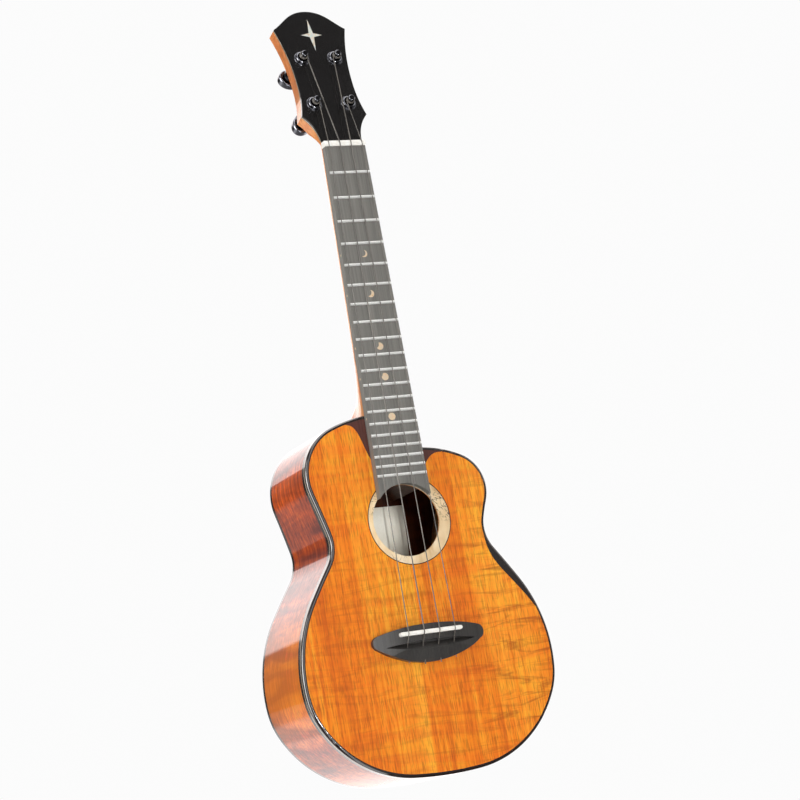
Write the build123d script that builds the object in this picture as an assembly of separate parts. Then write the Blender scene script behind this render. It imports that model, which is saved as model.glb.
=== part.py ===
from build123d import *
import math
import os

# Concert ukulele.  Millimetres, +X to the treble side, +Y from front to back, +Z up the neck.
# The origin is the middle of the nut's front edge, on the playing surface of the fretboard.

os.makedirs("parts", exist_ok=True)

# ---------------------------------------------------------------- driving dimensions

SCALE_LENGTH = 381.0
FRET_COUNT = 20

BOARD_WIDTH_NUT = 34.0
BOARD_TAPER = 0.0303          # width gained per millimetre of board
BOARD_THICKNESS = 5.9
FRET_CROWN_WIDTH = 2.1
FRET_CROWN_HEIGHT = 1.0
FRET_TANG_WIDTH = 0.6
FRET_TANG_DEPTH = 1.6
FRET_INSET = 0.5

TOP_Y = BOARD_THICKNESS       # outer face of the soundboard
TOP_THICKNESS = 2.2
SIDE_THICKNESS = 2.6
BACK_THICKNESS = 2.2
TAIL_Z = -487.6

# The rim is a chain of tangent arcs from the tail up to the neck: (radius, turn in degrees).
LOWER_RIM = [(280.7, 5.6), (88.1, 58.2), (55.6, 19.7), (109.1, 39.4), (719.5, 2.4)]
BASS_RIM = [(27.2, -49.5), (713.6, -2.6), (40.4, 85.1), (120.7, 14.5)]
TREBLE_RIM = [(27.0, -52.2), (138.1, -5.6), (29.4, 87.3), (89.6, 22.9)]

# The back is arched along its length only.
BACK_RADIUS = 1720.0
BACK_CREST_Y = 88.1
BACK_CREST_Z = -412.0

BINDING_WIDTH = 2.6
BINDING_DEPTH = 8.0
BINDING_ROUND = 2.0
BACK_BINDING_WIDTH = 2.4
BACK_BINDING_DEPTH = 3.6
LINING_WIDTH = 7.0
LINING_DEPTH = 9.0

HOLE_Z = -295.3
HOLE_RADIUS = 27.5
ROSETTE_OFFSET_X = 2.5
ROSETTE_RADIUS = 33.7
ROSETTE_LINE = 0.7
INLAY_DEPTH = 1.4

SADDLE_Z = -381.4
SADDLE_LENGTH = 51.0
SADDLE_WIDTH = 3.0
SADDLE_CREST_Y = -5.0
BRIDGE_TOP_Y = -1.4
BRIDGE_WING_Y = 2.6

NUT_LENGTH = 4.6
NUT_WIDTH = 34.6
NUT_CREST_Y = -1.5
NUT_SLOT_Y = -1.1
STRING_SPREAD_NUT = 28.2
STRING_SPREAD_SADDLE = 38.6
STRING_DIAMETERS = [0.72, 0.95, 0.82, 0.68]

HEAD_TILT = 13.0
HEAD_ORIGIN = (0, 4.0, 5.0)
HEAD_THICKNESS = 12.0
VENEER = 1.7
LINE_VENEER = 0.5

# Tuner posts on the head face: (distance from the centre line, height above the nut), strings 1 to 4.
POST_PLACES = [(-14.6, 34.6), (-14.2, 76.6), (14.2, 76.6), (14.6, 34.6)]
POST_RADIUS = 2.6
COIL_ZONE_RADIUS = 2.25
POST_COLLAR = 3.2
CROWN_BASE = 7.2
POST_HEIGHT = 8.8
SHAFT_GAP = 0.05
STEM_RADIUS = 4.0
STEM_TOP = 3.0
HOUSING_RADIUS = 6.6
HOUSING_LENGTH = 12.0
RING_RADIUS = 5.4
GEAR_RADIUS = 1.75            # sun and planets: 12 teeth each, ring 36, so the ratio is 4 to 1
SUN_SHAFT_RADIUS = 1.5
KNOB_FRONT = -26.0
KNOB_THICKNESS = 8.0

BOX = 400.0                   # side of the working boxes used for trimming


# ---------------------------------------------------------------- helpers


def save(name, shape):
    shape.label = name
    export_step(shape, "parts/" + name + ".step")


def front_plane(y):
    """Plane facing the player at depth y: local x is +X, local y is +Z."""
    return Plane(origin=(0, y, 0), x_dir=(1, 0, 0), z_dir=(0, -1, 0))


def plate(face, front, back):
    """Solid of a front-view outline between two depths."""
    return extrude(front_plane(front) * face, amount=-(back - front))


def side_profile(points, x0, x1):
    """Solid of a (Y, Z) outline extruded from x0 to x1."""
    face = make_face(Polyline(*points, close=True))
    plane = Plane(origin=(x0, 0, 0), x_dir=(0, 1, 0), z_dir=(1, 0, 0))
    return extrude(plane * face, amount=x1 - x0)


def space_box(x0, x1, y0, y1, z0, z1):
    middle = ((x0 + x1) / 2, (y0 + y1) / 2, (z0 + z1) / 2)
    return Pos(*middle) * Box(x1 - x0, y1 - y0, z1 - z0)


def fret_distance(number):
    return SCALE_LENGTH * (1 - 2 ** (-number / 12))


def board_half_width(distance):
    return (BOARD_WIDTH_NUT + BOARD_TAPER * distance) / 2


# ---------------------------------------------------------------- body outline


def rim_side(side, arcs):
    """Edges of one side of the rim, from the tail to the neck; side is +1 treble, -1 bass."""
    point = Vector(0, TAIL_Z)
    heading = Vector(side, 0)
    edges = []
    for radius, turn in arcs:
        edge = JernArc(start=point, tangent=heading, radius=radius, arc_size=side * turn)
        edges.append(edge)
        point = edge @ 1
        heading = edge % 1
    return edges


bass_edges = rim_side(-1, LOWER_RIM + BASS_RIM)
treble_edges = rim_side(1, LOWER_RIM + TREBLE_RIM)
joint_bass = bass_edges[-1] @ 1
joint_treble = treble_edges[-1] @ 1
rim_face = make_face(bass_edges + treble_edges + [Line(joint_bass, joint_treble)])


def inset_face(distance):
    return offset(rim_face, amount=-distance, kind=Kind.INTERSECTION)


def back_limit(inset):
    """Everything in front of the arched back surface moved inwards by inset."""
    barrel = Cylinder(BACK_RADIUS - inset, BOX)
    return Pos(0, BACK_CREST_Y - BACK_RADIUS, BACK_CREST_Z) * Rot(0, 90, 0) * barrel


def back_y(z, inset=0.0):
    run = z - BACK_CREST_Z
    return BACK_CREST_Y - BACK_RADIUS + math.sqrt((BACK_RADIUS - inset) ** 2 - run ** 2)


def rim_ring(outer, inner, front, back):
    """Band of the rim between two insets and two depths."""
    band = plate(inset_face(outer) if outer else rim_face, front, back)
    return band - plate(inset_face(inner), front, back)


DEEP = BACK_CREST_Y + 5
binding_back = TOP_Y + BINDING_DEPTH
top_inner = TOP_Y + TOP_THICKNESS

# Unit vectors along and square to the joint between neck and body.
joint_run = Vector(joint_treble.X - joint_bass.X, 0, joint_treble.Y - joint_bass.Y)
joint_angle = math.degrees(math.atan2(joint_run.Z, joint_run.X))
joint_middle = Vector((joint_bass.X + joint_treble.X) / 2, 0, (joint_bass.Y + joint_treble.Y) / 2)


def below_joint(depth):
    """Slab of the given depth below the joint line, through the whole instrument."""
    slab = Pos(0, 0, -depth / 2) * Box(BOX, BOX, depth)
    return Pos(*joint_middle) * Rot(0, -joint_angle, 0) * slab


# ---------------------------------------------------------------- body shell


def front_binding():
    block = plate(rim_face, TOP_Y, binding_back)
    corner = [e for e in block.edges().filter_by(GeomType.CIRCLE) if abs(e.center().Y - TOP_Y) < 0.01]
    block = fillet(corner, BINDING_ROUND)
    return block - plate(inset_face(BINDING_WIDTH), TOP_Y, binding_back)


def back_binding():
    ring = rim_ring(0, BACK_BINDING_WIDTH, binding_back, DEEP)
    return (ring & back_limit(0)) - back_limit(BACK_BINDING_DEPTH)


END_GRAFT_HALF = 3.5


def side_wall():
    wall = rim_ring(0, SIDE_THICKNESS, binding_back, DEEP)
    return wall & back_limit(BACK_BINDING_DEPTH)


def end_graft_space():
    return space_box(-END_GRAFT_HALF, END_GRAFT_HALF, 0, BOX, TAIL_Z - 10, TAIL_Z + 10)


def shoulder_wedges():
    """Dark pieces that fill the rounded corners of the top beside the fretboard."""
    field = inset_face(BINDING_WIDTH)
    bass_edge = Spline(
        (-46.0, -219.2), (-37.1, -218.2), (-31.7, -220.3), (-27.2, -227.6), (-24.6, -235.6), (-19.9, -248.0),
    )
    bass_rest = Polyline((-19.9, -248.0), (-19.9, -200.0), (-46.0, -200.0), (-46.0, -219.2))
    treble_edge = Spline(
        (46.0, -246.6), (37.8, -245.6), (32.6, -246.1), (28.8, -248.2), (25.4, -251.6), (20.3, -259.0),
    )
    treble_rest = Polyline((20.3, -259.0), (20.3, -230.0), (46.0, -230.0), (46.0, -246.6))
    pieces = []
    for edge, rest in ((bass_edge, bass_rest), (treble_edge, treble_rest)):
        cut = field & make_face([edge, rest])
        pieces.append(cut.faces().sort_by(SortBy.AREA)[-1])
    return pieces


def waist_bevel_face():
    """Crescent of dark wood inside the binding on the treble side, from the waist down."""
    edge = Spline(
        (64.6, -303.0), (62.6, -312.5), (65.8, -329.0), (76.8, -345.8), (89.6, -363.0), (98.5, -378.0),
    )
    outer = Polyline((98.5, -378.0), (130.0, -378.0), (130.0, -303.0), (64.6, -303.0))
    field = inset_face(BINDING_WIDTH) & make_face([edge, outer])
    return field.faces().sort_by(SortBy.AREA)[-1]


wedge_faces = shoulder_wedges()
bevel_face = waist_bevel_face()
rosette_disc = Pos(ROSETTE_OFFSET_X, HOLE_Z) * Circle(ROSETTE_RADIUS)
rosette_line_disc = Pos(ROSETTE_OFFSET_X, HOLE_Z) * Circle(ROSETTE_RADIUS + ROSETTE_LINE)
hole_disc = Pos(0, HOLE_Z) * Circle(HOLE_RADIUS)


def soundboard():
    board = plate(inset_face(BINDING_WIDTH), TOP_Y, top_inner)
    for face in wedge_faces + [bevel_face]:
        board -= plate(face, TOP_Y, top_inner)
    board -= plate(rosette_line_disc, TOP_Y, TOP_Y + INLAY_DEPTH)
    return board - plate(hole_disc, TOP_Y, top_inner)


def rosette():
    return plate(rosette_disc - hole_disc, TOP_Y, TOP_Y + INLAY_DEPTH)


def rosette_border():
    return plate(rosette_line_disc - rosette_disc, TOP_Y, TOP_Y + INLAY_DEPTH)


def back_plate():
    board = plate(inset_face(BACK_BINDING_WIDTH), binding_back, DEEP)
    return (board & back_limit(0)) - back_limit(BACK_THICKNESS)


# ---------------------------------------------------------------- inside the body

NECK_BLOCK_DEPTH = 20.0
NECK_BLOCK_HALF = 27.0
TAIL_BLOCK_DEPTH = 16.0
TAIL_BLOCK_HALF = 26.0


def inner_space(inset, front, back_inset):
    return plate(inset_face(inset), front, DEEP) & back_limit(back_inset)


def neck_block():
    column = space_box(-NECK_BLOCK_HALF, NECK_BLOCK_HALF, 0, BOX, -BOX, 0)
    body = inner_space(BINDING_WIDTH, top_inner, BACK_THICKNESS) & column
    return body & below_joint(NECK_BLOCK_DEPTH)


def tail_block():
    base = TAIL_Z + SIDE_THICKNESS + TAIL_BLOCK_DEPTH
    column = space_box(-TAIL_BLOCK_HALF, TAIL_BLOCK_HALF, 0, BOX, TAIL_Z, base)
    return inner_space(BINDING_WIDTH, top_inner, BACK_THICKNESS) & column


def blocks_clearance():
    neck_column = space_box(-NECK_BLOCK_HALF, NECK_BLOCK_HALF, 0, BOX, -290, 0)
    base = TAIL_Z + SIDE_THICKNESS + TAIL_BLOCK_DEPTH
    tail_column = space_box(-TAIL_BLOCK_HALF, TAIL_BLOCK_HALF, 0, BOX, TAIL_Z, base)
    return neck_column + tail_column


def top_lining():
    inner = BINDING_WIDTH + LINING_WIDTH
    ring = rim_ring(BINDING_WIDTH, inner, top_inner, top_inner + LINING_DEPTH)
    return ring - blocks_clearance()


def back_lining():
    inner = BINDING_WIDTH + LINING_WIDTH
    ring = rim_ring(BINDING_WIDTH, inner, binding_back, DEEP) & back_limit(BACK_THICKNESS)
    return ring - back_limit(BACK_THICKNESS + LINING_DEPTH) - blocks_clearance()


def top_braces():
    """One bar across below the soundhole and three fans round the bridge plate."""
    inside = inner_space(BINDING_WIDTH + LINING_WIDTH, top_inner, BACK_THICKNESS)
    bars = [space_box(-120, 120, top_inner, top_inner + 10, -340, -332)]
    for x, lean in ((-34.0, 9.0), (0.0, 0.0), (34.0, -9.0)):
        top = -350.0 if x else -414.0
        length = top - (TAIL_Z + 30)
        fan = space_box(-2.5, 2.5, top_inner, top_inner + 6, -length, 0)
        bars.append(Pos(x, 0, top) * Rot(0, lean, 0) * fan)
    pieces = []
    for bar in bars:
        pieces += (bar & inside).solids()
    return pieces


def bridge_plate():
    return space_box(-27, 27, top_inner, top_inner + 2.0, -410, -372)


def back_braces():
    """Three bars across the inside of the back."""
    inside = inner_space(BINDING_WIDTH + LINING_WIDTH, binding_back, BACK_THICKNESS)
    inside -= back_limit(BACK_THICKNESS + 10)
    pieces = []
    for z in (-328.0, -385.0, -440.0):
        pieces += (space_box(-120, 120, 20, BOX, z - 3.5, z + 3.5) & inside).solids()
    return pieces


LABEL_THICKNESS = 0.4


def label():
    sheet = space_box(-22, 34, 20, BOX, -318, -272) & back_limit(BACK_THICKNESS)
    return sheet - back_limit(BACK_THICKNESS + LABEL_THICKNESS)


# ---------------------------------------------------------------- neck


def head_plane(height):
    """Plane parallel to the face of the head, height in front of it: local y is up the head."""
    tilt = math.radians(HEAD_TILT)
    normal = (0, -math.cos(tilt), math.sin(tilt))
    face = Plane(origin=HEAD_ORIGIN, x_dir=(1, 0, 0), z_dir=normal)
    return face.offset(height)


# Half outline of the head, from the nut up to the middle of its crown.
HEAD_NUT_HALF = 17.0
HEAD_EAR = (27.6, 24.0)
HEAD_WAIST = (23.4, 54.0)
HEAD_CORNER = (30.6, 104.6)
HEAD_CROWN = 121.2


def head_half(side):
    def at(x, y):
        return (side * x, y)
    start = Line(at(HEAD_NUT_HALF - 0.2, -6.0), at(HEAD_NUT_HALF, 0.0))
    throat = ThreePointArc(at(HEAD_NUT_HALF, 0.0), at(19.8, 12.6), at(*HEAD_EAR))
    lower = ThreePointArc(at(*HEAD_EAR), at(24.6, 37.5), at(*HEAD_WAIST))
    upper = ThreePointArc(at(*HEAD_WAIST), at(25.2, 80.5), at(*HEAD_CORNER))
    crown = Spline(
        at(*HEAD_CORNER), at(17.4, 115.2), at(0, HEAD_CROWN),
        tangents=[(-side * 1.0, 0.62), (-side * 1.0, 0)],
    )
    return [start, throat, lower, upper, crown]


head_edges = head_half(-1) + head_half(1)
head_foot = Line((-HEAD_NUT_HALF + 0.2, -6.0), (HEAD_NUT_HALF - 0.2, -6.0))
head_face = make_face(head_edges + [head_foot])
above_nut = space_box(-BOX / 2, BOX / 2, -BOX / 2, BOX / 2, NUT_LENGTH, BOX)


def head_layer(top, bottom):
    """Layer of the head between two heights measured from its face."""
    return extrude(head_plane(bottom) * head_face, amount=top - bottom)


def post_holes(radius, bottom, top):
    holes = []
    for x, y in POST_PLACES:
        hole = head_plane(bottom) * (Pos(x, y) * Circle(radius))
        holes.append(extrude(hole, amount=top - bottom))
    return holes


def neck_section(z, half_width, depth, sharpness, flat, turn):
    """Cross-section of the neck: flat on top, rounded behind, turned about Y at the heel."""
    radians = math.radians(turn)
    run = (math.cos(radians), 0, math.sin(radians))
    normal = (math.sin(radians), 0, -math.cos(radians))
    plane = Plane(origin=(0, TOP_Y, z), x_dir=run, z_dir=normal)
    wide = half_width / math.cos(radians)
    # local y points to the back
    down = 1 if plane.y_dir.Y > 0 else -1
    belly = (wide * sharpness, down * depth * 0.55)
    left = Spline((-flat, down * depth), (-belly[0], belly[1]), (-wide, 0), tangents=[(-1, 0), (0, -down)])
    right = Spline((wide, 0), belly, (flat, down * depth), tangents=[(0, down), (-1, 0)])
    top = Line((-wide, 0), (wide, 0))
    base = Line((flat, down * depth), (-flat, down * depth))
    return plane * make_face([top, right, base, left])


HEEL_DEPTH = back_y(joint_middle.Z) - TOP_Y - 1.0
HEEL_CAP = 2.2


def neck_stick():
    """Shaft and heel in one loft; the heel's sections turn until they lie along the joint."""
    middle = joint_middle.Z
    rows = []
    for step in range(-1, 7):
        distance = 22.0 * step
        rows.append((NUT_LENGTH - 1.0356 * distance, distance, 12.4 + 0.0136 * distance, 0.85, 4.0, 0.0))
    rows += [
        (middle + 76, 150, 14.6, 0.85, 4.0, joint_angle * 0.1),
        (middle + 56, 165, 15.8, 0.85, 4.0, joint_angle * 0.35),
        (middle + 38, 180, 19.6, 0.84, 4.2, joint_angle * 0.7),
        (middle + 24, 195, 26.6, 0.82, 4.6, joint_angle * 0.9),
        (middle + 13, 205, 41.0, 0.78, 5.8, joint_angle),
        (middle + 4, 212, 67.0, 0.74, 7.0, joint_angle),
        (middle - 5, 218, HEEL_DEPTH + 28, 0.70, 8.2, joint_angle),
    ]
    sections = []
    for z, distance, depth, sharpness, flat, turn in rows:
        sections.append(neck_section(z, board_half_width(distance), depth, sharpness, flat, turn))
    past_cap = space_box(-BOX / 2, BOX / 2, TOP_Y + HEEL_DEPTH, BOX, -BOX, 0)
    return loft(sections) - below_joint(BOX) - past_cap


def neck_and_cap():
    head = head_layer(-VENEER - 2 * LINE_VENEER, -HEAD_THICKNESS)
    head -= space_box(-BOX / 2, BOX / 2, -BOX / 2, TOP_Y, -BOX, BOX)
    # The cheeks of the head sweep forward to nothing at the nut.
    sweep_corners = [(TOP_Y + 0.5, 2.0), (TOP_Y + 17.0, 21.0), (BOX, 21.0), (BOX, -BOX), (TOP_Y + 0.5, -BOX)]
    head -= side_profile(sweep_corners, -BOX / 2, BOX / 2)
    front = extrude(head_plane(-VENEER - 2 * LINE_VENEER) * Rectangle(BOX, BOX), amount=BOX)
    stick = neck_stick() - (front & above_nut)
    solid = stick + head
    for hole in post_holes(STEM_RADIUS, -HEAD_THICKNESS - 1, 1):
        solid -= hole
    cap_front = TOP_Y + HEEL_DEPTH - HEEL_CAP
    cap_space = space_box(-BOX / 2, BOX / 2, cap_front, BOX, -BOX, 0)
    return solid - cap_space, solid & cap_space


def veneer(top, bottom):
    layer = head_layer(top, bottom) & above_nut
    for hole in post_holes(STEM_RADIUS, bottom - 1, top + 1):
        layer -= hole
    return layer


INLAY_CENTRE = 99.0
INLAY_LONG = 15.0
INLAY_WIDE = 9.0
INLAY_WAIST = 2.0
HEAD_INLAY_DEPTH = 0.8


def head_inlay_face():
    """Plain four-pointed star."""
    points = []
    for k in range(8):
        angle = math.radians(90 + 45 * k)
        reach = INLAY_WAIST * 1.3 if k % 2 else (INLAY_LONG if k % 4 == 0 else INLAY_WIDE)
        points.append((reach * math.cos(angle), INLAY_CENTRE + reach * math.sin(angle)))
    return make_face(Polyline(*points, close=True))


# ---------------------------------------------------------------- fretboard


def board_face():
    end = HOLE_Z + 12
    half_end = board_half_width(-end)
    half_start = board_half_width(0)
    outline = Polyline(
        (-half_start, 0), (half_start, 0), (half_end, end), (-half_end, end), close=True
    )
    return make_face(outline) - Pos(0, HOLE_Z) * Circle(HOLE_RADIUS)


def fret(number, grow=0.0):
    """One fret: half-round crown above the board, tang in its slot."""
    distance = fret_distance(number)
    length = 2 * (board_half_width(distance) - FRET_INSET)
    tang = space_box(
        -length / 2, length / 2, -grow, FRET_TANG_DEPTH,
        -distance - FRET_TANG_WIDTH / 2, -distance + FRET_TANG_WIDTH / 2,
    )
    if grow:
        return tang
    half = FRET_CROWN_WIDTH / 2
    profile = make_face([
        ThreePointArc((-half, 0), (0, FRET_CROWN_HEIGHT), (half, 0)),
        Line((half, 0), (-half, 0)),
    ])
    plane = Plane(origin=(-length / 2, 0, -distance), x_dir=(0, 0, 1), z_dir=(1, 0, 0))
    crown = extrude(plane * profile, amount=length)
    return crown + tang


# Position markers on the centre line: fret number and how far the shadow disc is moved.
# They grow from a thin crescent at the fifth fret to a full disc at the fifteenth.
MARKERS = [(5, 1.4), (7, 2.2), (10, 3.4), (12, 4.6), (15, None)]
MARKER_RADIUS = 2.9
MARKER_DEPTH = 1.0
SIDE_DOT_RADIUS = 0.9
SIDE_DOT_Y = 2.6


def marker_z(number):
    return -(fret_distance(number) + fret_distance(number - 1)) / 2


def marker_face(number, shift):
    disc = Pos(0, marker_z(number)) * Circle(MARKER_RADIUS)
    if shift is None:
        return disc
    shadow = Pos(-shift, marker_z(number) + shift * 0.5) * Circle(MARKER_RADIUS)
    return disc - shadow


def side_dot(number):
    z = marker_z(number)
    x = -board_half_width(-z)
    peg = Cylinder(SIDE_DOT_RADIUS, 3.0)
    return Pos(x + 0.9, SIDE_DOT_Y, z) * Rot(0, 90, 0) * peg


def fretboard_parts():
    board = plate(board_face(), 0, BOARD_THICKNESS)
    markers = [plate(marker_face(n, shift), 0, MARKER_DEPTH) for n, shift in MARKERS]
    dots = []
    for number, _ in MARKERS:
        dots.append(side_dot(number) & board)
    for number in range(1, FRET_COUNT + 1):
        board -= fret(number, grow=0.5)
    for piece in markers + dots:
        board -= piece
    frets = [fret(number) for number in range(1, FRET_COUNT + 1)]
    return board, frets, markers + dots


# ---------------------------------------------------------------- strings


def spread(total, index):
    return total * (index / 3 - 0.5)


def head_point(x, y, height):
    plane = head_plane(height)
    return plane.from_local_coords(Vector(x, y, 0))


BRIDGE_HALF = 46.0
BRIDGE_REAR_Z = -403.4
BRIDGE_FRONT_Z = -375.2
TIE_Y = 1.9                   # depth of the string holes through the tie block
COIL_TURNS = 2.6
COIL_PITCH = 1.05
COIL_BASE = 3.4


def string_route(index):
    radius = STRING_DIAMETERS[index] / 2
    x_nut = spread(STRING_SPREAD_NUT, index)
    x_saddle = spread(STRING_SPREAD_SADDLE, index)
    slope = (x_saddle - x_nut) / (SADDLE_Z - 2.0)
    rear = bridge_rear(x_saddle)
    return [
        (x_nut, NUT_SLOT_Y - radius, 2.4),
        (x_saddle, SADDLE_CREST_Y - radius, SADDLE_Z),
        (x_saddle - slope * 8, TIE_Y - 1.0, SADDLE_Z - 9.0),
        (x_saddle - slope * 9, TIE_Y, SADDLE_Z - 12.0),
        (x_saddle - slope * 20, TIE_Y, rear - 1.6),
    ]


def bridge_rear(x):
    """Z of the bridge's tail edge at x."""
    return BRIDGE_REAR_Z + (x / BRIDGE_HALF) ** 2 * 14.0


def string_solid(index):
    """One string: coil on its post, run to the nut, over the saddle and through the tie block."""
    radius = STRING_DIAMETERS[index] / 2
    post_x, post_y = POST_PLACES[index]
    side = -1 if post_x < 0 else 1
    coil_radius = COIL_ZONE_RADIUS + 0.12 + radius
    route = [Vector(*p) for p in string_route(index)]

    # The run leaves the coil on its inner side, tangent to it.
    plane = head_plane(COIL_BASE + radius)
    nut_local = plane.to_local_coords(route[0])
    dx = nut_local.X - post_x
    dy = nut_local.Y - post_y
    reach = math.hypot(dx, dy)
    toward = math.degrees(math.atan2(dy, dx))
    swing = math.degrees(math.acos(coil_radius / reach))
    leave = toward - side * swing
    leave_x = post_x + coil_radius * math.cos(math.radians(leave))
    leave_y = post_y + coil_radius * math.sin(math.radians(leave))
    start = plane.from_local_coords(Vector(leave_x, leave_y, 0))

    run = FilletPolyline(start, *route, radius=[5.0, 1.2, 1.6, 1.0])
    tube = sweep(Plane(origin=start, z_dir=run % 0) * Circle(radius), path=run)

    turns = COIL_TURNS
    helix = Helix(
        pitch=COIL_PITCH, height=COIL_PITCH * turns, radius=coil_radius, lefthand=side > 0,
    )
    coil = sweep(Plane(origin=helix @ 0, z_dir=helix % 0) * Circle(radius), path=helix)
    seat = plane * Pos(post_x, post_y, 0) * Rot(0, 0, leave)
    coil = seat * coil
    joint = Pos(*start) * Sphere(radius * 1.02)
    return tube + coil + joint


# ---------------------------------------------------------------- bridge


def bridge_face():
    """Boat-shaped outline, a little fuller at the tail edge."""
    front = Spline(
        (-42.0, -380.2), (-22.0, -376.4), (0, BRIDGE_FRONT_Z), (22.0, -376.4), (42.0, -380.2),
    )
    right = ThreePointArc((42.0, -380.2), (BRIDGE_HALF, -385.2), (42.6, -390.4))
    rear = Spline(
        (42.6, -390.4), (27.0, -398.6), (0, BRIDGE_REAR_Z), (-27.0, -398.6), (-42.6, -390.4),
    )
    left = ThreePointArc((-42.6, -390.4), (-BRIDGE_HALF, -385.2), (-42.0, -380.2))
    return make_face([front, right, rear, left])


RECESS_HALF = 37.0
RECESS_FRONT_Z = -387.0
RECESS_REAR_Z = -393.6
RECESS_DEPTH = 4.2


def bridge_blank():
    block = plate(bridge_face(), BRIDGE_TOP_Y - 2, TOP_Y)
    # Wings: level in the middle, falling away to thin tips.
    half = BRIDGE_HALF + 1
    wing_plane = Plane(origin=(0, 0, -360), x_dir=(1, 0, 0), z_dir=(0, 0, -1))
    down = 1 if wing_plane.y_dir.Y > 0 else -1
    roof = Spline(
        (-half, down * BRIDGE_WING_Y), (-30, down * (BRIDGE_TOP_Y + 0.9)), (-14, down * BRIDGE_TOP_Y),
        (14, down * BRIDGE_TOP_Y), (30, down * (BRIDGE_TOP_Y + 0.9)), (half, down * BRIDGE_WING_Y),
    )
    walls = Polyline((half, down * BRIDGE_WING_Y), (half, down * 20), (-half, down * 20),
                     (-half, down * BRIDGE_WING_Y))
    block &= extrude(wing_plane * make_face([roof, walls]), amount=60)
    # Tail edge: the tie block slopes down towards the tail.
    slope = side_profile(
        [(-10, -392.0), (BRIDGE_TOP_Y, -392.0), (2.4, -404.5), (2.4, -410.0), (-10, -410.0)],
        -60, 60,
    )
    return block - slope


def recess():
    """Lens-shaped scoop behind the saddle, deep at the front and running out at the rear."""
    front = ThreePointArc((-RECESS_HALF, -389.6), (0, RECESS_FRONT_Z), (RECESS_HALF, -389.6))
    rear = ThreePointArc((RECESS_HALF, -389.6), (0, RECESS_REAR_Z), (-RECESS_HALF, -389.6))
    lens = plate(make_face([front, rear]), BRIDGE_TOP_Y - 3, BRIDGE_TOP_Y + RECESS_DEPTH)
    floor = side_profile(
        [
            (BRIDGE_TOP_Y + RECESS_DEPTH + 1, -386.0), (BRIDGE_TOP_Y + RECESS_DEPTH, -388.4),
            (BRIDGE_TOP_Y + 0.6, -394.2), (BRIDGE_TOP_Y + RECESS_DEPTH + 1, -396.0),
        ],
        -60, 60,
    )
    return lens - floor


SADDLE_FOOT_Y = 1.6


def saddle():
    """Bone bar with a rounded crest."""
    half = SADDLE_WIDTH / 2
    crest = ThreePointArc((SADDLE_CREST_Y + 0.7, -half), (SADDLE_CREST_Y, 0), (SADDLE_CREST_Y + 0.7, half))
    walls = Polyline((SADDLE_CREST_Y + 0.7, half), (SADDLE_FOOT_Y, half), (SADDLE_FOOT_Y, -half),
                     (SADDLE_CREST_Y + 0.7, -half))
    plane = Plane(origin=(-SADDLE_LENGTH / 2, 0, SADDLE_Z), x_dir=(0, 1, 0), z_dir=(1, 0, 0))
    bar = extrude(plane * make_face([crest, walls]), amount=SADDLE_LENGTH)
    ends = [e for e in bar.edges().filter_by(Axis.Y)]
    return fillet(ends, 1.2)


def nut():
    """Bone nut, its top sloping down to the head."""
    half = NUT_WIDTH / 2
    bar = side_profile(
        [(TOP_Y, 0), (TOP_Y, NUT_LENGTH), (NUT_CREST_Y + 1.4, NUT_LENGTH), (NUT_CREST_Y + 0.1, 2.6),
         (NUT_CREST_Y, 0.6), (NUT_CREST_Y + 0.3, 0)],
        -half, half,
    )
    return bar


# ---------------------------------------------------------------- tuners


def on_post(index, solid):
    """Moves a solid built about the local Z axis onto a post; z = 0 is the face of the head."""
    x, y = POST_PLACES[index]
    return head_plane(0) * Pos(x, y, 0) * solid


def rod(radius, bottom, top):
    return Pos(0, 0, (bottom + top) / 2) * Cylinder(radius, top - bottom)


BARREL_BACK = -HEAD_THICKNESS - HOUSING_LENGTH
COVER_THICKNESS = 1.8
CARRIER_FRONT = -HEAD_THICKNESS - 1.4
CARRIER_BACK = CARRIER_FRONT - 2.4
GEAR_FRONT = CARRIER_BACK - 1.0
GEAR_BACK = GEAR_FRONT - 3.2
PLANET_ORBIT = 2 * GEAR_RADIUS + SHAFT_GAP
PIN_RADIUS = 0.6
BUSHING_RADIUS = 5.3
WASHER_RADIUS = 6.3
WASHER_THICKNESS = 0.8


def housing():
    """Barrel behind the head with its threaded stem through the head."""
    shell = rod(HOUSING_RADIUS, BARREL_BACK, -HEAD_THICKNESS) + rod(STEM_RADIUS, -HEAD_THICKNESS, STEM_TOP)
    shell -= rod(RING_RADIUS, BARREL_BACK, -HEAD_THICKNESS - 1.2)
    return shell - rod(POST_RADIUS + SHAFT_GAP, -HEAD_THICKNESS - 2, 4)


def housing_cover():
    disc = rod(RING_RADIUS, BARREL_BACK, BARREL_BACK + COVER_THICKNESS)
    return disc - rod(SUN_SHAFT_RADIUS + SHAFT_GAP, BARREL_BACK - 1, BARREL_BACK + 3)


def bushing():
    """Round domed nut on the threaded stem."""
    dome = rod(BUSHING_RADIUS, WASHER_THICKNESS, STEM_TOP)
    dome = fillet(dome.edges().group_by(Axis.Z)[-1], 1.1)
    return dome - rod(STEM_RADIUS, 0, 4)


def washer():
    disc = rod(WASHER_RADIUS, 0, WASHER_THICKNESS)
    disc = fillet(disc.edges().group_by(Axis.Z)[-1], 0.4)
    return disc - rod(STEM_RADIUS, -1, 2)


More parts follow.
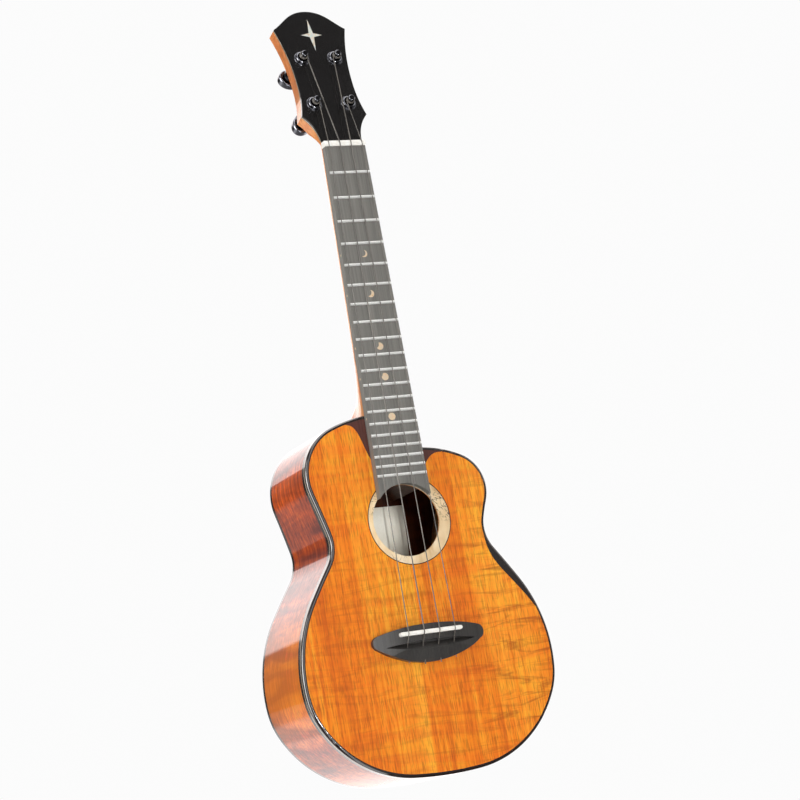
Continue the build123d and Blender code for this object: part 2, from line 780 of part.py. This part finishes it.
def post():
    """String post with its gear carrier and planet pins."""
    body = rod(POST_RADIUS, CARRIER_FRONT, POST_COLLAR)
    body += rod(COIL_ZONE_RADIUS, POST_COLLAR, CROWN_BASE)
    crown = rod(POST_RADIUS, CROWN_BASE, POST_HEIGHT)
    crown = fillet(crown.edges().group_by(Axis.Z)[-1], 0.7)
    body += crown
    body += rod(RING_RADIUS - 0.4, CARRIER_BACK, CARRIER_FRONT)
    for k in range(3):
        body += Rot(0, 0, 120 * k) * Pos(PLANET_ORBIT, 0, 0) * rod(PIN_RADIUS, GEAR_BACK, CARRIER_BACK)
    return body - Pos(0, 0, CROWN_BASE + 0.6) * Rot(0, 90, 0) * Cylinder(0.5, 12)


def planet_gears():
    gears = []
    for k in range(3):
        disc = rod(GEAR_RADIUS, GEAR_BACK, GEAR_FRONT) - rod(PIN_RADIUS, GEAR_BACK - 1, GEAR_FRONT + 1)
        gears.append(Rot(0, 0, 120 * k) * Pos(PLANET_ORBIT, 0, 0) * disc)
    return gears


def sun_shaft():
    shaft = rod(GEAR_RADIUS, GEAR_BACK, GEAR_FRONT)
    shaft += rod(SUN_SHAFT_RADIUS, KNOB_FRONT - 6.0, GEAR_BACK)
    return shaft - rod(0.8, KNOB_FRONT - 6.5, KNOB_FRONT - 1.0)


KNOB_LONG = 19.6
KNOB_WIDE = 15.4
# Resting angle of each knob's long axis, as they were left after tuning.
KNOB_ANGLES = [48.0, -8.0, 20.0, 110.0]


def knob(angle):
    """Oval button with a domed back and rounded rim."""
    rim = Ellipse(KNOB_LONG / 2, KNOB_WIDE / 2)
    button = extrude(rim, amount=-KNOB_THICKNESS)
    button = fillet(button.edges().group_by(Axis.Z)[0], 2.6)
    button = fillet(button.edges().group_by(Axis.Z)[-1], 1.4)
    button = Pos(0, 0, KNOB_FRONT) * Rot(0, 0, angle) * button
    back = KNOB_FRONT - KNOB_THICKNESS
    button -= rod(SUN_SHAFT_RADIUS, KNOB_FRONT - 6.0, KNOB_FRONT + 1)
    button -= rod(0.8, back, KNOB_FRONT - 6.0)
    return button - rod(2.0, back - 1, back + 1.4)


def knob_screw():
    back = KNOB_FRONT - KNOB_THICKNESS
    screw = rod(1.9, back + 0.2, back + 1.4) + rod(0.8, back + 1.4, KNOB_FRONT - 1.6)
    slot = Pos(0, 0, back + 0.2) * Box(2.8, 0.5, 0.9)
    cross = Pos(0, 0, back + 0.2) * Box(0.5, 2.8, 0.9)
    return screw - slot - cross


# ---------------------------------------------------------------- assembly

strings = [string_solid(k) for k in range(4)]


def without_strings(shape):
    """Cuts the grooves and holes that the strings run in."""
    for string in strings:
        shape -= string
    return shape


def as_group(pieces):
    return Compound(children=[s for p in pieces for s in p.solids()])


save("soundboard", soundboard())
save("front_binding", front_binding())
save("back_plate", back_plate())
save("back_binding", back_binding())
wall = side_wall()
save("side_bass", (wall - end_graft_space()) & space_box(-BOX, 0, 0, BOX, -2 * BOX, 0))
save("side_treble", (wall - end_graft_space()) & space_box(0, BOX, 0, BOX, -2 * BOX, 0))
save("end_graft", wall & end_graft_space())
save("shoulder_wedges", as_group([plate(f, TOP_Y, top_inner) for f in wedge_faces]))
save("waist_bevel", plate(bevel_face, TOP_Y, top_inner))
save("rosette", rosette())
save("rosette_border", rosette_border())
save("neck_block", neck_block())
save("tail_block", tail_block())
save("top_lining", as_group([top_lining()]))
save("back_lining", as_group([back_lining()]))
save("top_braces", as_group(top_braces()))
save("bridge_plate", bridge_plate())
save("back_braces", as_group(back_braces()))
save("label", label())

neck, heel_cap = neck_and_cap()
save("neck", neck)
save("heel_cap", heel_cap)
star = extrude(head_plane(-HEAD_INLAY_DEPTH) * head_inlay_face(), amount=HEAD_INLAY_DEPTH)
save("head_veneer", veneer(0, -VENEER) - star)
save("head_line_veneer", veneer(-VENEER, -VENEER - LINE_VENEER))
save("head_under_veneer", veneer(-VENEER - LINE_VENEER, -VENEER - 2 * LINE_VENEER))
save("head_inlay", star)

board, frets, markers = fretboard_parts()
save("fretboard", board)
save("frets", as_group(frets))
save("position_markers", as_group(markers))
save("nut", without_strings(nut()))

saddle_bar = saddle()
save("saddle", without_strings(saddle_bar))
save("bridge", without_strings(bridge_blank() - recess() - saddle_bar))
for k in range(4):
    save("string_" + str(k + 1), strings[k])

save("tuner_housings", as_group([on_post(k, housing()) for k in range(4)]))
save("tuner_covers", as_group([on_post(k, housing_cover()) for k in range(4)]))
save("tuner_washers", as_group([on_post(k, washer()) for k in range(4)]))
save("tuner_bushings", as_group([on_post(k, bushing()) for k in range(4)]))
for k in range(4):
    tag = "_" + str(k + 1)
    save("post" + tag, on_post(k, post()))
    save("planet_gears" + tag, as_group([on_post(k, gear) for gear in planet_gears()]))
    save("sun_shaft" + tag, on_post(k, sun_shaft()))
    save("knob" + tag, on_post(k, knob(KNOB_ANGLES[k])))
    save("knob_screw" + tag, on_post(k, knob_screw()))
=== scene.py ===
import math

import bpy
from mathutils import Matrix, Vector

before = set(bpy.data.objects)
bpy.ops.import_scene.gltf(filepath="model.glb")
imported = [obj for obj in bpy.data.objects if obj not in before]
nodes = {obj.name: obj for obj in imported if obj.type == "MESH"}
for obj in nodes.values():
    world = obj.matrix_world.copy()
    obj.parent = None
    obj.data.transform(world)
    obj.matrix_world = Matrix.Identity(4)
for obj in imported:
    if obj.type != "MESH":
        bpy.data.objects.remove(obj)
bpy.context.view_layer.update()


def in_scene(name, data):
    """A new object that holds the data, linked into the scene."""
    obj = bpy.data.objects.new(name, data)
    bpy.context.scene.collection.objects.link(obj)
    return obj


# ---------------------------------------------------------------- camera

CAMERA_PLACE = (-0.77670, -1.61351, -0.53646)
CAMERA_RIGHT = Vector((0.899069, -0.403951, -0.168815))
CAMERA_UP = Vector((0.075643, -0.236467, 0.968691))
CAMERA_FORWARD = Vector((0.431223, 0.883689, 0.182044))
SENSOR_MM = 36.0
LENS_MM = 107.98
SHIFT_X = -0.0025
CLIP_END = 50.0

camera_data = bpy.data.cameras.new("camera")
camera_data.sensor_width = SENSOR_MM
camera_data.lens = LENS_MM
camera_data.shift_x = SHIFT_X
camera_data.clip_end = CLIP_END
camera = in_scene("camera", camera_data)
turn = Matrix((CAMERA_RIGHT, CAMERA_UP, -CAMERA_FORWARD)).transposed()
camera.matrix_world = Matrix.Translation(CAMERA_PLACE) @ turn.to_4x4()
bpy.context.scene.camera = camera

# ---------------------------------------------------------------- node helpers


def linear(r, g, b):
    """sRGB 0-255 to the linear colour the shader wants."""
    out = []
    for value in (r, g, b):
        c = value / 255
        out.append(c / 12.92 if c <= 0.04045 else ((c + 0.055) / 1.055) ** 2.4)
    return (*out, 1.0)


class Wiring:
    """A node tree being wired up; an input takes a plain value or another node's output."""

    def __init__(self, tree):
        self.tree = tree

    def new(self, kind):
        return self.tree.nodes.new("ShaderNode" + kind)

    def plug(self, slot, value):
        if isinstance(value, bpy.types.NodeSocket):
            self.tree.links.new(value, slot)
        else:
            slot.default_value = value

    def math(self, operation, a, b=0.0, c=0.0):
        node = self.new("Math")
        node.operation = operation
        for slot, value in zip(node.inputs, (a, b, c)):
            self.plug(slot, value)
        return node.outputs["Value"]

    def scaled(self, value, scale, offset):
        return self.math("MULTIPLY_ADD", value, scale, offset)

    def separate(self, vector):
        node = self.new("SeparateXYZ")
        self.plug(node.inputs["Vector"], vector)
        return node.outputs

    def ramp(self, value, stops):
        """Colour ramp; each stop is a place with a grey level or a colour."""
        node = self.new("ValToRGB")
        elements = node.color_ramp.elements
        while len(elements) < len(stops):
            elements.new(0.5)
        for element, (place, colour) in zip(elements, stops):
            element.position = place
            element.color = colour if isinstance(colour, tuple) else (colour, colour, colour, 1)
        self.plug(node.inputs["Fac"], value)
        return node.outputs["Color"]


class Graph(Wiring):
    """A material being wired up; every pattern reads object coordinates in metres."""

    def __init__(self, name):
        self.material = bpy.data.materials.new(name)
        self.material.use_nodes = True
        super().__init__(self.material.node_tree)
        self.shader = self.tree.nodes["Principled BSDF"]
        self.coords = self.new("TexCoord").outputs["Object"]

    def noise(self, scale, detail, rough=0.55, distortion=0.0, place=(0, 0, 0)):
        mapping = self.new("Mapping")
        mapping.inputs["Scale"].default_value = scale
        mapping.inputs["Location"].default_value = place
        self.plug(mapping.inputs["Vector"], self.coords)
        node = self.new("TexNoise")
        node.inputs["Scale"].default_value = 1.0
        node.inputs["Detail"].default_value = detail
        node.inputs["Roughness"].default_value = rough
        node.inputs["Distortion"].default_value = distortion
        self.plug(node.inputs["Vector"], mapping.outputs["Vector"])
        return node.outputs["Fac"]

    def blend(self, first, first_share, second, second_share):
        """Weighted sum of two patterns."""
        return self.math(
            "ADD", self.math("MULTIPLY", first, first_share), self.math("MULTIPLY", second, second_share)
        )

    def mix(self, factor, a, b, mode="MIX"):
        node = self.new("Mix")
        node.data_type = "RGBA"
        node.blend_type = mode
        colours = [s for s in node.inputs if s.type == "RGBA"]
        for slot, value in zip((node.inputs[0], colours[0], colours[1]), (factor, a, b)):
            self.plug(slot, value)
        return [s for s in node.outputs if s.type == "RGBA"][0]

    def axis(self, name):
        return self.separate(self.coords)[name]

    def bump(self, height, strength, depth):
        node = self.new("Bump")
        node.inputs["Strength"].default_value = strength
        node.inputs["Distance"].default_value = depth
        self.plug(node.inputs["Height"], height)
        self.plug(self.shader.inputs["Normal"], node.outputs["Normal"])

    def finish(self, colour, roughness, metallic=0.0, coat=0.0, coat_roughness=0.03, specular=0.5):
        sockets = self.shader.inputs
        self.plug(sockets["Base Color"], colour)
        self.plug(sockets["Roughness"], roughness)
        sockets["Metallic"].default_value = metallic
        sockets["Coat Weight"].default_value = coat
        sockets["Coat Roughness"].default_value = coat_roughness
        sockets["Specular IOR Level"].default_value = specular
        return self.material


# how deep each kind of surface detail goes, in metres
PORE_DEPTH = 0.00012
FIBRE_DEPTH = 0.00010
PEEL_DEPTH = 0.00008
POLISH_DEPTH = 0.00005
SCRATCH_DEPTH = 0.00004

# ---------------------------------------------------------------- woods

BROAD_GRAIN = (24, 24, 2.6)
FINE_GRAIN = (330, 330, 7.5)
PORE_GRAIN = (1150, 1150, 95)
CURL_DARK = linear(126, 60, 22)
CURL_LIGHT = linear(255, 236, 190)
PLAIN_FIGURE = (5, 5, 20)


def figured_wood(name, dark, middle, light, pore, curl, figure, gloss=True, shade=None):
    """Straight-grained wood along Z with pores and curly figure across the grain."""
    g = Graph(name)
    broad = g.noise(BROAD_GRAIN, detail=3, rough=0.5, distortion=0.6)
    grain = g.noise(FINE_GRAIN, detail=5, rough=0.6, distortion=0.15)
    tone = g.blend(broad, 0.48, grain, 0.52)
    colour = g.ramp(tone, [(0.34, linear(*dark)), (0.49, linear(*middle)), (0.64, linear(*light))])
    curls = g.noise(figure, detail=2.5, distortion=1.5)
    curl_mask = g.ramp(curls, [(0.36, 0.0), (0.50, 0.5), (0.64, 1.0)])
    colour = g.mix(curl, colour, g.mix(curl_mask, CURL_DARK, CURL_LIGHT), "OVERLAY")
    dashes = g.noise(PORE_GRAIN, detail=2, rough=0.5, place=(3, 1, 5))
    dash_mask = g.ramp(dashes, [(0.50, 0.0), (0.66, 0.46)])
    colour = g.mix(dash_mask, colour, linear(*pore))
    if shade is not None:
        colour = shade(g, colour)
    rough = g.ramp(grain, [(0.3, 0.42), (0.7, 0.30)])
    g.bump(dash_mask, 0.04 if gloss else 0.25, PORE_DEPTH)
    return g.finish(colour, rough, coat=1.0 if gloss else 0.0, coat_roughness=0.035, specular=0.12)


def top_shade(g, colour):
    """Dark flame streaks across the top, strongest on its lower right."""
    streak = g.noise((17, 1, 120), detail=3, rough=0.6, distortion=1.3, place=(0.4, 0, 0.9))
    streak = g.ramp(streak, [(0.50, 0.0), (0.66, 1.0)])
    to_the_right = g.ramp(g.scaled(g.axis("X"), 9.0, 0.05), [(0.28, 0.42), (0.62, 1.0)])
    low_down = g.ramp(g.scaled(g.axis("Z"), -5.0, -1.25), [(0.05, 0.25), (0.35, 1.0)])
    strength = g.math("MULTIPLY", g.math("MULTIPLY", streak, to_the_right), g.math("MULTIPLY", low_down, 0.60))
    return g.mix(strength, colour, linear(146, 50, 8))


def back_inside_painted_shade(g, colour):
    """Painted shade inside the body: the inner face of the back, whose normal points to the front, is turned near
    black.
    """
    normal = g.separate(g.new("NewGeometry").outputs["Normal"])
    inner = g.ramp(g.scaled(normal["Y"], 0.5, 0.5), [(0.30, 0.92), (0.45, 0.0)])
    # painted shade on the inner face of the back
    return g.mix(inner, colour, linear(34, 22, 18))


def side_painted_light(g, colour):
    """A painted pool of light round the lower bout of the sides, and darker about the waist."""
    drop = g.scaled(g.axis("Z"), -3.0, -0.6)
    # light: painted light screened on round the lower bout; dark: darker about the waist
    light = g.ramp(drop, [(0.44, 0.0), (0.56, 0.50), (0.64, 0.50), (0.76, 0.0)])
    dark = g.ramp(drop, [(0.16, 0.0), (0.24, 0.50), (0.40, 0.35), (0.55, 0.0)])
    colour = g.mix(light, colour, linear(255, 138, 24), "SCREEN")
    return g.mix(dark, colour, linear(168, 118, 62), "MULTIPLY")


# for each wood: name; sRGB of the dark, middle and light grain and of the pores; how strong the curl
# is; the scale of its figure; whether it is lacquered; what is laid over it
WOODS = (
    ("koa_top", (206, 92, 10), (240, 130, 18), (255, 172, 48), (140, 58, 8), 0.15, (9, 9, 60), True, top_shade),
    ("koa_side", (96, 36, 6), (170, 74, 10), (226, 118, 20), (66, 22, 3), 0.95, (6, 6, 40), True, side_painted_light),
    ("koa_back", (110, 42, 12), (168, 78, 22), (212, 120, 40), (60, 24, 8), 0.60, (9, 9, 50), True, back_inside_painted_shade),
    ("mahogany", (178, 98, 52), (220, 140, 84), (240, 176, 118), (136, 72, 38), 0.15, PLAIN_FIGURE),
    ("pale_line", (206, 190, 160), (226, 214, 190), (240, 232, 214), (180, 160, 128), 0.05, PLAIN_FIGURE),
    # the blocks' wood is made dark as painted shade inside the body
    ("block_wood_painted_shade", (64, 34, 20), (86, 48, 30), (108, 64, 42), (44, 22, 12), 0.10, PLAIN_FIGURE, False),
    ("spruce", (196, 158, 104), (220, 186, 132), (236, 208, 160), (160, 120, 70), 0.08, PLAIN_FIGURE, False),
    ("lining_wood", (150, 104, 62), (186, 138, 90), (212, 170, 122), (110, 70, 40), 0.08, PLAIN_FIGURE, False),
    ("plate_maple", (190, 150, 100), (214, 178, 128), (232, 202, 158), (150, 112, 70), 0.10, PLAIN_FIGURE, False),
)
wood = {row[0]: figured_wood(*row) for row in WOODS}

# ---------------------------------------------------------------- ebony and dark lacquer


def ebony(name, base, sheen, roughness, relief):
    g = Graph(name)
    grain = g.noise((700, 700, 11), detail=5, rough=0.65)
    broad = g.noise((60, 60, 4), detail=3, rough=0.5, distortion=0.4)
    colour = g.ramp(g.blend(grain, 0.6, broad, 0.4), [(0.34, base), (0.66, sheen)])
    rough = g.ramp(grain, [(0.30, roughness + 0.10), (0.70, roughness - 0.06)])
    g.bump(grain, relief, FIBRE_DEPTH)
    return g.finish(colour, rough)


# the fretboard's greys, far lighter than ebony's own near black, are painted sheen over its real grain
ebony_board = ebony("ebony_board", linear(92, 90, 86), linear(132, 130, 124), 0.42, 0.35)
ebony_bridge = ebony("ebony_bridge", linear(34, 32, 31), linear(62, 59, 56), 0.36, 0.25)


def lacquer(name, colour, coat_roughness):
    """Deep gloss lacquer with the faintest orange peel."""
    g = Graph(name)
    peel = g.noise((260, 260, 260), detail=2, rough=0.5)
    fine = g.noise((900, 900, 60), detail=3, rough=0.6)
    lifted = tuple(min(1.0, c * 1.5 + 0.002) for c in colour[:3]) + (1,)
    tint = g.ramp(fine, [(0.3, colour), (0.7, lifted)])
    g.bump(peel, 0.06, PEEL_DEPTH)
    return g.finish(tint, 0.22, coat=1.0, coat_roughness=coat_roughness)


black_lacquer = lacquer("black_lacquer", linear(16, 14, 14), 0.03)
binding_black = lacquer("binding_black", linear(24, 17, 15), 0.05)
rosewood = lacquer("rosewood", linear(74, 34, 26), 0.05)


def binding_material():
    """Dark rim with a pale stripe painted along its side as a reflection, where Y runs from 9.0 to 10.2 mm."""
    g = Graph("front_binding")
    depth = g.scaled(g.axis("Y"), 100.0, -0.5)
    line = g.ramp(depth, [(0.40, 0.0), (0.43, 1.0), (0.49, 1.0), (0.52, 0.0)])
    fibre = g.noise((500, 500, 30), detail=3, rough=0.6)
    dark = g.ramp(fibre, [(0.3, linear(20, 13, 11)), (0.7, linear(44, 28, 22))])
    g.bump(g.noise((240, 240, 240), detail=2), 0.05, PEEL_DEPTH)
    # painted reflection: the pale stripe where the binding's side catches the light
    colour = g.mix(line, dark, linear(196, 182, 160))
    return g.finish(colour, 0.22, coat=1.0, coat_roughness=0.04)


# ---------------------------------------------------------------- rosette, label, bone, pearl


def spalted_maple():
    """Cream wood with broken dark veins, smudged towards its upper end."""
    g = Graph("spalted_maple")
    soft = g.noise((45, 45, 26), detail=4, rough=0.6, distortion=0.8)
    cream = g.ramp(
        soft, [(0.32, linear(206, 168, 116)), (0.50, linear(234, 206, 162)), (0.68, linear(246, 228, 196))]
    )
    lines = g.noise((85, 85, 85), detail=2.5, distortion=2.4, place=(0.2, 0, 0.5))
    vein = g.ramp(lines, [(0.478, 0.0), (0.496, 1.0), (0.504, 1.0), (0.522, 0.0)])
    gate = g.ramp(g.noise((34, 34, 34), detail=1, place=(1, 2, 3)), [(0.50, 0.0), (0.58, 1.0)])
    colour = g.mix(g.math("MULTIPLY", vein, gate), cream, linear(58, 36, 24))
    smudge = g.noise((120, 120, 120), detail=5, rough=0.75, place=(5, 5, 5))
    smudge = g.ramp(smudge, [(0.60, 0.0), (0.74, 0.85)])
    high_up = g.ramp(g.scaled(g.axis("Z"), 20.0, 6.0), [(0.35, 0.0), (0.6, 1.0)])
    colour = g.mix(g.math("MULTIPLY", smudge, high_up), colour, linear(70, 48, 34))
    # fine fibres along Z, so that the ring does not read as plastic
    g.bump(g.noise((900, 900, 90), detail=2), 0.03, PEEL_DEPTH)
    return g.finish(colour, 0.35, coat=1.0, coat_roughness=0.04)


def paper():
    g = Graph("paper")
    fibre = g.noise((1400, 1400, 1400), detail=4, rough=0.7)
    age = g.noise((40, 40, 40), detail=3)
    tone = g.blend(fibre, 0.35, age, 0.65)
    colour = g.ramp(tone, [(0.3, linear(218, 214, 196)), (0.7, linear(242, 240, 228))])
    g.bump(fibre, 0.15, FIBRE_DEPTH)
    return g.finish(colour, 0.85, specular=0.3)


def bone_material():
    g = Graph("bone")
    grain = g.noise((700, 160, 160), detail=4, rough=0.65)
    colour = g.ramp(grain, [(0.3, linear(244, 240, 230)), (0.7, linear(255, 254, 250))])
    g.bump(grain, 0.06, POLISH_DEPTH)
    return g.finish(colour, 0.28)


def pearl(name, warmth):
    """Shell with a soft swirl of tints; warmth mixes in gold."""
    g = Graph(name)
    swirl = g.noise((420, 420, 300), detail=3, rough=0.5, distortion=1.6)
    tints = [
        (0.30, linear(206, 176, 150)),
        (0.45, linear(240, 232, 214)),
        (0.58, linear(202, 222, 220)),
        (0.72, linear(244, 222, 226)),
    ]
    colour = g.mix(warmth, g.ramp(swirl, tints), linear(236, 190, 128))
    g.bump(swirl, 0.05, POLISH_DEPTH)
    return g.finish(colour, 0.20, coat=0.8, coat_roughness=0.05, specular=0.7)


bone = bone_material()

# ---------------------------------------------------------------- metals and strings

EVEN_GRIND = (900, 900, 900)
ACROSS_THE_FRET = (2200, 300, 300)


def metal(name, low, high, roughness, grind=EVEN_GRIND, strength=0.05, spread=0.06, metallic=1.0):
    g = Graph(name)
    scratch = g.noise(grind, detail=3, rough=0.6)
    colour = g.ramp(scratch, [(0.3, low), (0.7, high)])
    rough = g.ramp(scratch, [(0.3, roughness + spread), (0.7, max(0.03, roughness - spread))])
    g.bump(scratch, strength, SCRATCH_DEPTH)
    return g.finish(colour, rough, metallic=metallic)


def nylon(name, colour, shade, roughness):
    """Slightly cloudy filament with drawing lines along it."""
    g = Graph(name)
    cloud = g.noise((300, 300, 25), detail=3)
    tint = g.ramp(cloud, [(0.3, shade), (0.7, colour)])
    g.bump(cloud, 0.06, SCRATCH_DEPTH)
    return g.finish(tint, roughness, specular=0.6)


# the frets are only partly metallic: fully metallic, they mirror the dark front and vanish; their bright white
# base is partly a painted reflection
nickel = metal(
    "nickel", linear(232, 231, 228), linear(250, 250, 247), 0.34, ACROSS_THE_FRET, strength=0.02, spread=0.02,
    metallic=0.45,
)
black_chrome = metal("black_chrome", linear(84, 84, 88), linear(120, 120, 125), 0.12)
knob_black = metal("knob_black", linear(112, 113, 120), linear(146, 147, 155), 0.24)
black_plated = metal("black_plated", linear(30, 30, 32), linear(54, 54, 58), 0.18)
steel = metal("steel", linear(120, 120, 122), linear(168, 168, 170), 0.26)
brass = metal("brass", linear(176, 140, 70), linear(220, 186, 110), 0.22)
string_nylon = nylon("string_nylon", linear(112, 106, 98), linear(78, 73, 68), 0.28)

# ---------------------------------------------------------------- which node takes which material

finish_of = {
    # body
    "soundboard": wood["koa_top"], "back_plate": wood["koa_back"],
    "side_bass": wood["koa_side"], "side_treble": wood["koa_side"],
    "front_binding": binding_material(), "back_binding": binding_black, "end_graft": binding_black,
    "shoulder_wedges": rosewood, "waist_bevel": binding_black,
    "rosette": spalted_maple(), "rosette_border": binding_black,
    # inside the body
    "neck_block": wood["block_wood_painted_shade"], "tail_block": wood["block_wood_painted_shade"],
    "top_lining": wood["lining_wood"], "back_lining": wood["lining_wood"],
    "top_braces": wood["spruce"], "back_braces": wood["spruce"],
    "bridge_plate": wood["plate_maple"], "label": paper(),
    # neck and headstock
    "neck": wood["mahogany"], "heel_cap": binding_black,
    "head_veneer": black_lacquer, "head_line_veneer": wood["pale_line"],
    "head_under_veneer": black_lacquer, "head_inlay": pearl("head_pearl", 0.05),
    "fretboard": ebony_board, "frets": nickel, "position_markers": pearl("marker_pearl", 0.55),
    # what carries the strings
    "nut": bone, "saddle": bone, "bridge": ebony_bridge,
    "tuner_housings": black_plated, "tuner_covers": black_plated,
    "tuner_washers": black_chrome, "tuner_bushings": black_chrome,
}
per_string = {
    "string": string_nylon, "post": black_chrome, "planet_gears": brass,
    "sun_shaft": steel, "knob": knob_black, "knob_screw": steel,
}
for number in range(1, 5):
    for name, material in per_string.items():
        finish_of[name + "_" + str(number)] = material

for name, obj in nodes.items():
    material = finish_of[name]
    if not obj.material_slots:
        obj.data.materials.append(material)
    for slot in obj.material_slots:
        slot.material = material

# ---------------------------------------------------------------- world

WARM_WHITE = (1.0, 0.985, 0.97)
PINK_WHITE = (1.0, 0.93, 0.915)
# brightness from straight down, 0, to straight up, 1, with the horizon at 0.5
BACKDROP = [(0.0, 0.05), (0.255, 0.08), (0.285, 0.44), (0.36, 0.52), (0.46, 0.44), (0.66, 0.58), (1.0, 0.58)]
ROOM = [
    (0.0, 0.05), (0.22, 0.08), (0.30, 0.28), (0.40, 0.28), (0.425, 0.11), (0.47, 0.09), (0.49, 0.012),
    (1.0, 0.012),
]
FRONT = [
    (0.0, 0.02), (0.30, 0.03), (0.46, 0.06), (0.62, 0.12), (0.72, 0.02), (0.90, 0.02), (0.93, 0.80), (1.0, 0.80),
]
BACKDROP_STRENGTH = 3.4
ROOM_STRENGTH = 4.0
FRONT_STRENGTH = 3.0
WINDOW_COLOUR = (0.96, 0.98, 1.0, 1)
WINDOW_STRENGTH = 2.6
LEFT_STRIP_COLOUR = (1.0, 0.99, 0.97, 1)
LEFT_STRIP_STRENGTH = 7.0
FILL_COLOUR = (1.0, 0.98, 0.96, 1)
FILL_STRENGTH = 0.27
SEEN_COLOUR = (1.0, 1.0, 1.0, 1)
SEEN_STRENGTH = 0.97
# from which Y on a direction counts as behind, and how far the backdrop's edge leans
BEHIND_FROM_Y = 0.35
EDGE_LEAN = 0.07

world = bpy.data.worlds.new("studio")
bpy.context.scene.world = world
world.use_nodes = True
sky = Wiring(world.node_tree)
sky.tree.nodes.clear()


def background(colour, strength):
    node = sky.new("Background")
    sky.plug(node.inputs["Color"], colour)
    sky.plug(node.inputs["Strength"], strength)
    return node.outputs["Background"]


def tinted_ramp(value, stops, tint=WARM_WHITE):
    """Ramp of brightness levels; as a mask its warm tint keeps it just short of one."""
    return sky.ramp(value, [(place, tuple(level * t for t in tint) + (1,)) for place, level in stops])


def choose(factor, first, second):
    node = sky.new("MixShader")
    for slot, value in zip(node.inputs, (factor, first, second)):
        sky.plug(slot, value)
    return node.outputs[0]


# What the lacquer mirrors, by direction. Behind the instrument: a pink-white backdrop, and left of its edge
# a room that is pale below the horizon and dark above. In front: near dark with a bright part overhead, and
# a window left of the middle. Far left: a bright strip.
toward = sky.separate(sky.new("TexCoord").outputs["Generated"])
height = sky.scaled(toward["Z"], 0.5, 0.5)
across = sky.scaled(sky.scaled(toward["Z"], EDGE_LEAN, toward["X"]), 1.0, 0.5)
on_backdrop = tinted_ramp(across, [(0.250, 0.0), (0.266, 1.0)])
behind = choose(
    on_backdrop,
    background(tinted_ramp(height, ROOM), ROOM_STRENGTH),
    background(tinted_ramp(height, BACKDROP, PINK_WHITE), BACKDROP_STRENGTH),
)
sideways = sky.scaled(toward["X"], 1.0, 0.5)
in_window = tinted_ramp(sideways, [(0.10, 0.0), (0.16, 1.0), (0.50, 1.0), (0.60, 0.0)])
in_front = choose(
    in_window,
    background(tinted_ramp(height, FRONT), FRONT_STRENGTH),
    background(WINDOW_COLOUR, WINDOW_STRENGTH),
)
mirrored = choose(sky.math("GREATER_THAN", toward["Y"], BEHIND_FROM_Y), in_front, behind)
far_left = tinted_ramp(sky.scaled(toward["X"], -1.0, 0.0), [(0.90, 0.0), (0.92, 1.0)])
mirrored = choose(far_left, mirrored, background(LEFT_STRIP_COLOUR, LEFT_STRIP_STRENGTH))

# what lights the scene evenly, and what the camera sees as background
fill = background(FILL_COLOUR, FILL_STRENGTH)
seen = background(SEEN_COLOUR, SEEN_STRENGTH)
rays = sky.new("LightPath").outputs
lit = choose(rays["Is Glossy Ray"], fill, mirrored)
out = sky.new("OutputWorld")
sky.plug(out.inputs["Surface"], choose(rays["Is Camera Ray"], lit, seen))

# ---------------------------------------------------------------- lights

BODY_MIDDLE = (0.0, 0.03, -0.25)
# name, place, width, length and watts of each area light
AREA_LIGHTS = (
    ("key", (0.05, -2.2, -0.75), 0.34, 0.34, 35),
    ("left_soft", (-2.1, -0.5, 0.5), 1.4, 1.6, 30),
    ("right_soft", (1.9, -1.3, 0.9), 1.2, 1.6, 12),
    ("top_soft", (0.3, -0.6, 2.0), 1.4, 1.0, 10),
)
BEAM_PLACE = (-0.36, -1.30, -0.36)
BEAM_TARGET = (-0.007, 0.006, -0.2965)
BEAM_DEGREES = 1.9


def aim(lamp, place, target):
    facing = (Vector(target) - Vector(place)).to_track_quat("-Z", "Y")
    lamp.matrix_world = Matrix.Translation(place) @ facing.to_matrix().to_4x4()


# a narrow beam that falls through the soundhole onto the label
beam_data = bpy.data.lights.new("label_beam", "SPOT")
beam_data.energy = 40
beam_data.spot_size = math.radians(BEAM_DEGREES)
beam_data.spot_blend = 0.35
beam_data.shadow_soft_size = 0.01
aim(in_scene("label_beam", beam_data), BEAM_PLACE, BEAM_TARGET)

for name, place, width, length, power in AREA_LIGHTS:
    data = bpy.data.lights.new(name, "AREA")
    data.shape = "RECTANGLE"
    data.size = width
    data.size_y = length
    data.energy = power
    lamp = in_scene(name, data)
    aim(lamp, place, BODY_MIDDLE)
    lamp.visible_camera = False

# ---------------------------------------------------------------- floor

FLOOR_Z = -0.72
FLOOR_REACH = 6
FLOOR_GLOW = 0.22

corners = [(x * FLOOR_REACH, y * FLOOR_REACH, FLOOR_Z) for x, y in ((-1, -1), (1, -1), (1, 1), (-1, 1))]
floor_mesh = bpy.data.meshes.new("floor")
floor_mesh.from_pydata(corners, [], [(0, 1, 2, 3)])
floor = in_scene("floor", floor_mesh)
paint = Graph("floor_paint")
haze = paint.noise((3, 3, 3), detail=2)
pale = paint.ramp(haze, [(0.3, linear(236, 236, 236)), (0.7, linear(244, 244, 244))])
floor_mesh.materials.append(paint.finish(pale, 0.8, specular=0.2))
paint.shader.inputs["Emission Color"].default_value = (1.0, 1.0, 1.0, 1.0)
paint.shader.inputs["Emission Strength"].default_value = FLOOR_GLOW
# the lacquer mirrors the world set up above, not the floor
floor.visible_glossy = False

scene = bpy.context.scene
scene.view_settings.view_transform = "Standard"
scene.view_settings.look = "None"
